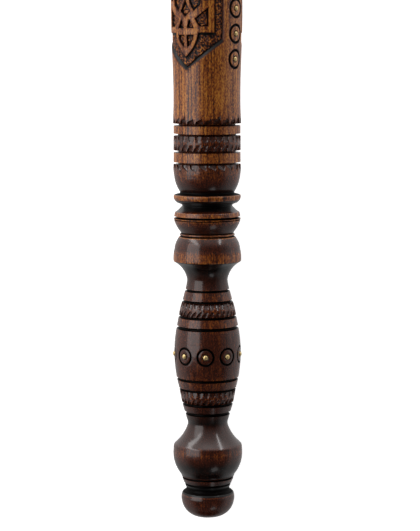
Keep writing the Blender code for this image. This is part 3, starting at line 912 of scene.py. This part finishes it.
def revolved(profile, sides):
    """Points and faces of a profile turned about Z. Its rows are radius and height."""
    points, faces, previous = [], [], None
    for radius, z in profile:
        if radius:
            points += [(radius * math.cos(a), radius * math.sin(a), z) for a in round_angles(sides)]
            ring = list(range(len(points) - sides, len(points)))
        else:
            points.append((0.0, 0.0, z))
            ring = [len(points) - 1] * sides
        if previous:
            for side in range(sides):
                beside = (side + 1) % sides
                corners = (previous[side], ring[side], ring[beside], previous[beside])
                faces.append(tuple(dict.fromkeys(corners)))
        previous = ring
    return points, faces


def swept_paper():
    """Points and faces of a round sheet of paper whose rim sweeps up all round."""
    bends = [math.radians(angle) for angle in range(0, 91, 10)]
    sweep = [
        (PAPER_RADIUS + PAPER_SWEEP * math.sin(bend), PAPER_SWEEP * (1 - math.cos(bend))) for bend in bends
    ]
    return revolved([(0.0, 0.0)] + sweep, PAPER_SIDES)


def mesh_from(name, points, faces):
    """A mesh of these points and faces."""
    mesh = bpy.data.meshes.new(name)
    mesh.from_pydata(points, [], faces)
    mesh.validate()
    return mesh


# ------------------------------------------------------------------ materials
def add_node(tree, kind, inputs=None, **settings):
    """Adds a node. Settings are its properties; inputs are a value or a link for each of its sockets."""
    node = tree.nodes.new(kind)
    for key, value in settings.items():
        setattr(node, key, value)
    for key, value in (inputs or {}).items():
        if isinstance(value, bpy.types.NodeSocket):
            tree.links.new(value, node.inputs[key])
        else:
            node.inputs[key].default_value = value
    return node


def new_material(name):
    """An empty material and its node tree."""
    material = bpy.data.materials.new(name)
    material.use_nodes = True
    material.node_tree.nodes.clear()
    return material, material.node_tree


def set_curve(node, places):
    """Gives a float curve straight runs between its points."""
    curve = node.mapping.curves[0]
    while len(curve.points) < len(places):
        curve.points.new(0.5, 0.5)
    for point, place in zip(curve.points, places):
        point.location = place
        point.handle_type = "VECTOR"
    node.mapping.update()


def set_stops(ramp, places):
    """Gives a colour ramp its stops, each a position and a linear colour."""
    stops = ramp.color_ramp.elements
    while len(stops) < len(places):
        stops.new(0.5)
    for stop, (position, colour) in zip(stops, places):
        stop.position = position
        stop.color = tuple(colour)[:3] + (1.0,)


def varnished_walnut(colours):
    """Walnut, turned, carved, stained and varnished.

    Brown streaks and short dark pores run along the mace. The stain is black in the cuts, and thinner on the
    shaft and on rubbed edges; the black and the darkest tones also stand for painted shade in grooves,
    hollows and on undersides. The turned parts have a gloss of varnish, and the handled shaft is satin.
    The points carry two values: their tone, how rubbed the stain is there with painted shade and a few
    painted highlights among it, and how much varnish lies on it.
    """
    material, tree = new_material("stained varnished walnut")
    axis = axis_matrix()
    world = add_node(tree, "ShaderNodeTexCoord").outputs["Object"]
    place = add_node(
        tree, "ShaderNodeMapping",
        {"Vector": world, "Location": axis.translation, "Rotation": axis.to_euler()},
        vector_type="TEXTURE").outputs["Vector"]
    tone = add_node(tree, "ShaderNodeAttribute", attribute_name="tone").outputs["Fac"]
    varnish = add_node(tree, "ShaderNodeAttribute", attribute_name="varnish").outputs["Fac"]

    # How far each pattern reaches across and along the mace, in millimetres, its detail and how much shows.
    # Pores are 0.2 mm wide in the wood; here they are 0.8 mm, the finest that shows. Each pattern is taken
    # from another place in the noise, so that no two look alike.
    patterns, totals = {}, {"grain": 0.0, "speckle": 0.0}
    for name, across, along, detail, weight, part in (
        ("figure", 5.0, 150.0, 2.0, 0.60, "grain"),
        ("streak", 1.3, 44.0, 2.0, 1.30, "grain"),
        ("mottle", 3.0, 5.0, 3.0, 0.30, "grain"),
        ("pore", 0.8, 1.5, 1.0, 1.25, "speckle"),
    ):
        stretched = add_node(tree, "ShaderNodeMapping", {
            "Vector": place, "Location": (across, along, 0.0),
            "Scale": (1 / (across * MM), 1 / (across * MM), 1 / (along * MM))})
        patterns[name] = add_node(tree, "ShaderNodeTexNoise", {
            "Vector": stretched.outputs["Vector"], "Scale": 1.0, "Detail": detail,
            "Roughness": 0.55}).outputs["Fac"]
        centred = add_node(tree, "ShaderNodeMath", {0: patterns[name], 1: 0.5}, operation="SUBTRACT")
        totals[part] = add_node(
            tree, "ShaderNodeMath", {0: centred.outputs[0], 1: weight, 2: totals[part]},
            operation="MULTIPLY_ADD").outputs[0]
    # The dark stain hides most of the grain, and less of the speckle.
    shade = tone
    for part, hidden in (("grain", 0.08), ("speckle", 0.17)):
        strength = add_node(tree, "ShaderNodeMapRange", {
            "Value": tone, "From Min": 0.26, "From Max": 0.62, "To Min": hidden})
        shade = add_node(
            tree, "ShaderNodeMath", {0: totals[part], 1: strength.outputs["Result"], 2: shade},
            operation="MULTIPLY_ADD").outputs[0]
    colour = add_node(tree, "ShaderNodeValToRGB", {"Fac": shade})
    set_stops(colour, (
        (0.0, colours.cut), (0.14, colours.cut), (0.38, colours.stained), (0.64, colours.shaft),
        (0.98, colours.rubbed)))

    # Bare wood is rough, and the polished turnings are glossy under their coat of varnish.
    coat = add_node(tree, "ShaderNodeMapRange", {
        "Value": varnish, "From Min": 0.40, "To Min": 0.05, "To Max": 0.45})
    smooth = add_node(tree, "ShaderNodeMapRange", {"Value": varnish, "To Min": 0.58, "To Max": 0.19})
    roughness = add_node(
        tree, "ShaderNodeMath", {0: patterns["mottle"], 1: 0.10, 2: smooth.outputs["Result"]},
        operation="MULTIPLY_ADD")
    # The bare black of the cuts swallows the light.
    gleam = add_node(tree, "ShaderNodeMapRange", {
        "Value": varnish, "From Max": 0.5, "To Min": 0.05, "To Max": 0.5})
    bump = add_node(tree, "ShaderNodeBump", {"Height": shade, "Strength": 0.15, "Distance": 0.0003})
    shader = add_node(tree, "ShaderNodeBsdfPrincipled", {
        "Base Color": colour.outputs["Color"], "Roughness": roughness.outputs[0],
        "Specular IOR Level": gleam.outputs["Result"], "IOR": 1.5,
        "Coat Weight": coat.outputs["Result"], "Coat Roughness": 0.09, "Coat IOR": 1.5,
        "Normal": bump.outputs["Normal"]})
    add_node(tree, "ShaderNodeOutputMaterial", {"Surface": shader.outputs["BSDF"]})
    return material


def polished_brass(colour):
    """Brass nails, stamped, and polished by handling under a film of old varnish.

    A warm bright metal with dents and darker scuffs. The film makes it partly matt, so it isn't all metal.
    """
    material, tree = new_material("polished brass")
    place = add_node(tree, "ShaderNodeTexCoord").outputs["Object"]
    # The dents are about 0.9 mm across.
    dents = add_node(tree, "ShaderNodeTexNoise", {
        "Vector": place, "Scale": 1 / (0.9 * MM), "Detail": 2.0}).outputs["Fac"]
    tint = add_node(tree, "ShaderNodeValToRGB", {"Fac": dents})
    set_stops(tint, ((0.25, [part * 0.85 for part in colour]), (0.6, colour)))
    roughness = add_node(tree, "ShaderNodeMapRange", {"Value": dents, "To Min": 0.42, "To Max": 0.28})
    bump = add_node(tree, "ShaderNodeBump", {"Height": dents, "Strength": 0.25, "Distance": 0.0003})
    shader = add_node(tree, "ShaderNodeBsdfPrincipled", {
        "Base Color": tint.outputs["Color"], "Metallic": 0.75,
        "Roughness": roughness.outputs["Result"], "Normal": bump.outputs["Normal"]})
    add_node(tree, "ShaderNodeOutputMaterial", {"Surface": shader.outputs["BSDF"]})
    return material


def studio_paper(colour, glow):
    """Matt white background paper, lit from behind a little so that shadows on it stay faint."""
    material, tree = new_material("white background paper")
    place = add_node(tree, "ShaderNodeTexCoord").outputs["Object"]
    # Paper fibre is far too fine to show, so a soft unevenness of about 60 mm stands for it.
    cloud = add_node(tree, "ShaderNodeTexNoise", {
        "Vector": place, "Scale": 16.0, "Detail": 2.0}).outputs["Fac"]
    roughness = add_node(tree, "ShaderNodeMapRange", {"Value": cloud, "To Min": 0.85, "To Max": 0.95})
    shader = add_node(tree, "ShaderNodeBsdfPrincipled", {
        "Base Color": tuple(colour) + (1.0,), "Roughness": roughness.outputs["Result"],
        "Emission Color": (1.0, 1.0, 1.0, 1.0), "Emission Strength": glow})
    add_node(tree, "ShaderNodeOutputMaterial", {"Surface": shader.outputs["BSDF"]})
    return material


def studio_room(dimness):
    """A dim room, brighter beyond the head than beyond the foot.

    Its half under the floor shows only in the varnish, which would else be milky with the paper's glare.
    Each half has its own run from straight beyond the foot, 0, to straight beyond the head, 1.
    """
    world = bpy.data.worlds.new("studio room")
    world.use_nodes = True
    tree = world.node_tree
    tree.nodes.clear()
    direction = add_node(tree, "ShaderNodeTexCoord").outputs["Generated"]
    part = add_node(tree, "ShaderNodeSeparateXYZ", {"Vector": direction})
    from_foot = add_node(tree, "ShaderNodeMapRange", {"Value": part.outputs["X"], "From Min": -1.0})
    below = add_node(tree, "ShaderNodeFloatCurve", {"Value": from_foot.outputs["Result"]})
    set_curve(below, ((0.0, 0.0), (0.04, 0.0), (0.11, 0.15), (0.5, 0.22), (0.85, 0.36), (1.0, 0.62)))
    above = add_node(tree, "ShaderNodeFloatCurve", {"Value": from_foot.outputs["Result"]})
    set_curve(above, (
        (0.0, dimness / 2), (0.55, dimness / 2), (0.71, 0.05), (0.9, 0.25), (0.97, 0.45), (1.0, 1.0)))
    height = add_node(tree, "ShaderNodeMapRange", {
        "Value": part.outputs["Z"], "From Min": -0.05, "From Max": 0.45})
    light = add_node(tree, "ShaderNodeMix", {
        "Factor": height.outputs["Result"], "A": below.outputs["Value"], "B": above.outputs["Value"]})
    background = add_node(tree, "ShaderNodeBackground", {
        "Color": light.outputs["Result"], "Strength": ROOM_STRENGTH})
    add_node(tree, "ShaderNodeOutputWorld", {"Surface": background.outputs["Background"]})
    return world


# ------------------------------------------------------------------ what a user would change
def hex_colour(name, description, value):
    """A colour as a setting, whose default is an sRGB hex colour."""
    return bpy.props.FloatVectorProperty(
        name=name, description=description, subtype="COLOR", size=3, min=0.0, max=1.0,
        default=linear(value))


def lamp_power(name, description, watts):
    """The power of a light as a setting."""
    return bpy.props.FloatProperty(
        name=name, description=description, unit="POWER", min=0.0, default=watts)


class MaceColours(bpy.types.PropertyGroup):
    """Colours of the finishes."""

    # Black of the cuts, used for stain gathered there and for painted shade in grooves, recesses and on
    # undersides.
    cut: hex_colour("Cuts", "Stain gathered in grooves and cuts", "060302")
    stained: hex_colour("Stained turning", "Walnut where the stain is dark", "4a1e0e")
    shaft: hex_colour("Shaft", "Walnut of the shaft", "8c4a19")
    rubbed: hex_colour("Rubbed edges", "Walnut where the stain is rubbed thin", "c27c30")
    brass: hex_colour("Brass", "Nail heads", "ffdf9c")
    floor: hex_colour("Floor", "Background paper", "f4f3f1")


class MaceSizes(bpy.types.PropertyGroup):
    """Sizes of the fittings."""

    nail_radius: bpy.props.FloatProperty(
        name="Nail radius", description="Radius of a nail's head", unit="LENGTH",
        default=1.6 * MM, min=0.5 * MM)
    nail_height: bpy.props.FloatProperty(
        name="Nail height", description="How far a nail's head stands out of the wood", unit="LENGTH",
        default=0.95 * MM, min=0.2 * MM)
    smooth_angle: bpy.props.FloatProperty(
        name="Smooth angle", description="Edges sharper than this stay sharp", subtype="ANGLE",
        default=math.radians(38), min=0.0, max=math.pi)


class MaceStage(bpy.types.PropertyGroup):
    """Camera and light."""

    distance: bpy.props.FloatProperty(
        name="Camera distance", description="From the mace's axis", unit="LENGTH", default=1.24, min=0.5)
    lens: bpy.props.FloatProperty(
        name="Lens", description="Focal length", unit="CAMERA", default=128.6, min=20.0)
    left_light: lamp_power("Left softbox", "Power of the main light", 4.6)
    left_panel: lamp_power("Left panel", "Power of the wide light on the left", 0.3)
    right_panel: lamp_power("Right panel", "Power of the wide light on the right", 0.35)
    left_strip: lamp_power("Left strip", "Power of the strip beyond the head, on the left", 5.2)
    right_strip: lamp_power("Right strip", "Power of the strip beyond the head, on the right", 2.6)
    foot_lamp: lamp_power("Foot lamp", "Power of the small lamp beyond the foot", 0.25)
    sky: bpy.props.FloatProperty(
        name="Room light", description="Brightness of the room above the stage", default=0.04, min=0.0)
    glow: bpy.props.FloatProperty(
        name="Paper glow", description="Light that comes through the background paper",
        default=0.9, min=0.0)


# ------------------------------------------------------------------ operators
class OBJECT_OT_mace_stage(bpy.types.Operator):
    """Lay the background paper and set the camera and the studio lights"""

    bl_idname = "object.mace_stage"
    bl_label = "Mace Stage"

    def execute(self, context):
        scene, stage = context.scene, context.scene.mace_stage
        floor = new_object("studio_floor", mesh_from("studio_floor", *swept_paper()))
        floor.data.materials.append(studio_paper(scene.mace_colours.floor, stage.glow))
        floor.location.z = -PAPER_DROP
        floor.visible_glossy = False    # the varnish mirrors the dim room in its place

        scene.world = studio_room(stage.sky)
        scene.view_settings.view_transform = "Standard"

        axis = axis_matrix()
        centre = axis @ Vector((0.0, 0.0, CAMERA_STATION * MM))
        along_mace, upright, leaning = (
            Vector(way) for way in ((1.0, 0.0, 0.0), (0.0, 0.0, 1.0), (-0.3, -0.4, 0.866)))
        # Power, width, length, the direction of the length, and the place from the middle of the mace.
        for name, power, across, along, stretch, position in (
            ("left softbox", stage.left_light, 0.90, 1.10, along_mace, (0.10, 0.79, 0.62)),
            ("left panel", stage.left_panel, 0.66, 1.10, along_mace, (0.10, 1.00, 0.33)),
            ("right panel", stage.right_panel, 0.90, 1.10, along_mace, (0.10, -1.00, 0.33)),
            ("left strip", stage.left_strip, 0.30, 1.50, upright, (0.93, 0.92, 0.45)),
            ("right strip", stage.right_strip, 0.12, 1.00, leaning, (0.97, -0.865, 0.45)),
            ("foot lamp", stage.foot_lamp, 0.32, 0.32, upright, (-1.10, -0.34, 0.55)),
        ):
            data = bpy.data.lights.new(name, "AREA")
            data.shape = "RECTANGLE"
            data.size, data.size_y = across, along
            data.energy = power
            light = new_object(name, data)
            light.visible_camera = False
            place = Vector(position)
            light.location = centre + place
            back = (place - stretch * place.dot(stretch)).normalized()
            turn = Matrix((stretch.cross(back), stretch, back)).transposed()
            light.rotation_mode = "QUATERNION"
            light.rotation_quaternion = turn.to_quaternion()

        lens = bpy.data.cameras.new("camera")
        lens.lens = stage.lens
        lens.shift_y = CAMERA_SHIFT
        lens.clip_start, lens.clip_end = 0.05, 60.0
        camera = new_object("camera", lens)
        aside = CAMERA_ASIDE * MM
        stand = axis @ Vector((stage.distance, aside, CAMERA_STATION * MM))
        target = axis @ Vector((0.0, aside, CAMERA_TARGET * MM))
        back = (stand - target).normalized()
        up = axis.to_3x3() @ Vector((0.0, 0.0, 1.0))
        right = up.cross(back).normalized()
        turn = Matrix((right, back.cross(right), back)).transposed()
        roll = Matrix.Rotation(math.radians(CAMERA_ROLL), 4, "Z")
        camera.matrix_world = Matrix.Translation(stand) @ turn.to_4x4() @ roll
        scene.camera = camera
        return {"FINISHED"}


class OBJECT_OT_mace_body(bpy.types.Operator):
    """Turn and carve the mace's wood"""

    bl_idname = "object.mace_body"
    bl_label = "Carved Body"

    def execute(self, context):
        skin = carved_skin()
        axis = axis_matrix()
        points = [axis @ (Vector(point) * MM) for point in skin.points]
        for point in points:
            point.z = max(point.z, 0.0)     # the flats that it rests on
        mesh = mesh_from("carved_body", points, skin.faces)
        for name, values in (("tone", skin.tones), ("varnish", skin.varnish)):
            mesh.attributes.new(name, "FLOAT", "POINT").data.foreach_set("value", values)
        mesh.shade_smooth()
        mesh.set_sharp_from_angle(angle=context.scene.mace_sizes.smooth_angle)
        mesh.materials.append(varnished_walnut(context.scene.mace_colours))
        body = new_object("carved_body", mesh)
        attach(body, "root")
        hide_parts("mace_body")
        return {"FINISHED"}


class OBJECT_OT_mace_nails(bpy.types.Operator):
    """Set a domed brass nail in every motif"""

    bl_idname = "object.mace_nails"
    bl_label = "Brass Nails"

    def execute(self, context):
        sizes = context.scene.mace_sizes
        material = polished_brass(context.scene.mace_colours.brass)
        profile = [(across * sizes.nail_radius, up * sizes.nail_height) for across, up in NAIL_HEAD]
        points, faces = revolved(profile, NAIL_SIDES)
        axis = axis_matrix()
        chance = random.Random(17)
        for number, (azimuth, station) in enumerate(nail_places(), 1):
            spin = Matrix.Rotation(chance.uniform(0.0, 2 * math.pi), 4, "Z")
            lean = Matrix.Rotation(math.radians(chance.uniform(-NAIL_LEAN, NAIL_LEAN)), 4, "X")
            name = "nail_head_%02d" % number
            mesh = mesh_from(name, points, faces)
            mesh.transform(axis @ self.seat(math.radians(azimuth), station) @ lean @ spin)
            mesh.shade_smooth()
            mesh.materials.append(material)
            nail = new_object(name, mesh)
            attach(nail, "root")
            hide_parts("brass_nail_%02d" % number)
        return {"FINISHED"}

    def seat(self, azimuth, station):
        """Where a nail stands on the wood, in the mace's own frame: its Z is the surface's normal."""
        spot = surface_point(azimuth, station)
        before, after = (surface_point(azimuth, station + step) for step in (-NAIL_SEAT, NAIL_SEAT))
        along = (after - before).normalized()
        across = Vector((-math.sin(azimuth), math.cos(azimuth), 0.0))
        normal = across.cross(along)
        return Matrix.Translation(spot) @ Matrix((across, along, normal)).transposed().to_4x4()


class VIEW3D_PT_mace(bpy.types.Panel):
    """Lists the mace's pieces and their settings"""

    bl_label = "Ceremonial Mace"
    bl_space_type = "VIEW_3D"
    bl_region_type = "UI"
    bl_category = "Mace"

    def draw(self, context):
        layout = self.layout
        for operator in OPERATORS:
            layout.operator(operator.bl_idname)
        for group in (context.scene.mace_sizes, context.scene.mace_colours, context.scene.mace_stage):
            box = layout.box()
            for name in group.__annotations__:
                box.prop(group, name)


OPERATORS = (OBJECT_OT_mace_stage, OBJECT_OT_mace_body, OBJECT_OT_mace_nails)
CLASSES = (MaceColours, MaceSizes, MaceStage) + OPERATORS + (VIEW3D_PT_mace,)


def register():
    for item in CLASSES:
        bpy.utils.register_class(item)
    bpy.types.Scene.mace_colours = bpy.props.PointerProperty(type=MaceColours)
    bpy.types.Scene.mace_sizes = bpy.props.PointerProperty(type=MaceSizes)
    bpy.types.Scene.mace_stage = bpy.props.PointerProperty(type=MaceStage)


def unregister():
    del bpy.types.Scene.mace_stage
    del bpy.types.Scene.mace_sizes
    del bpy.types.Scene.mace_colours
    for item in reversed(CLASSES):
        bpy.utils.unregister_class(item)


def main():
    """Sets the stage and makes the mace."""
    register()
    bpy.ops.object.mace_stage()
    bpy.ops.object.mace_body()
    bpy.ops.object.mace_nails()
    bpy.context.view_layer.update()


if __name__ == "__main__":
    main()
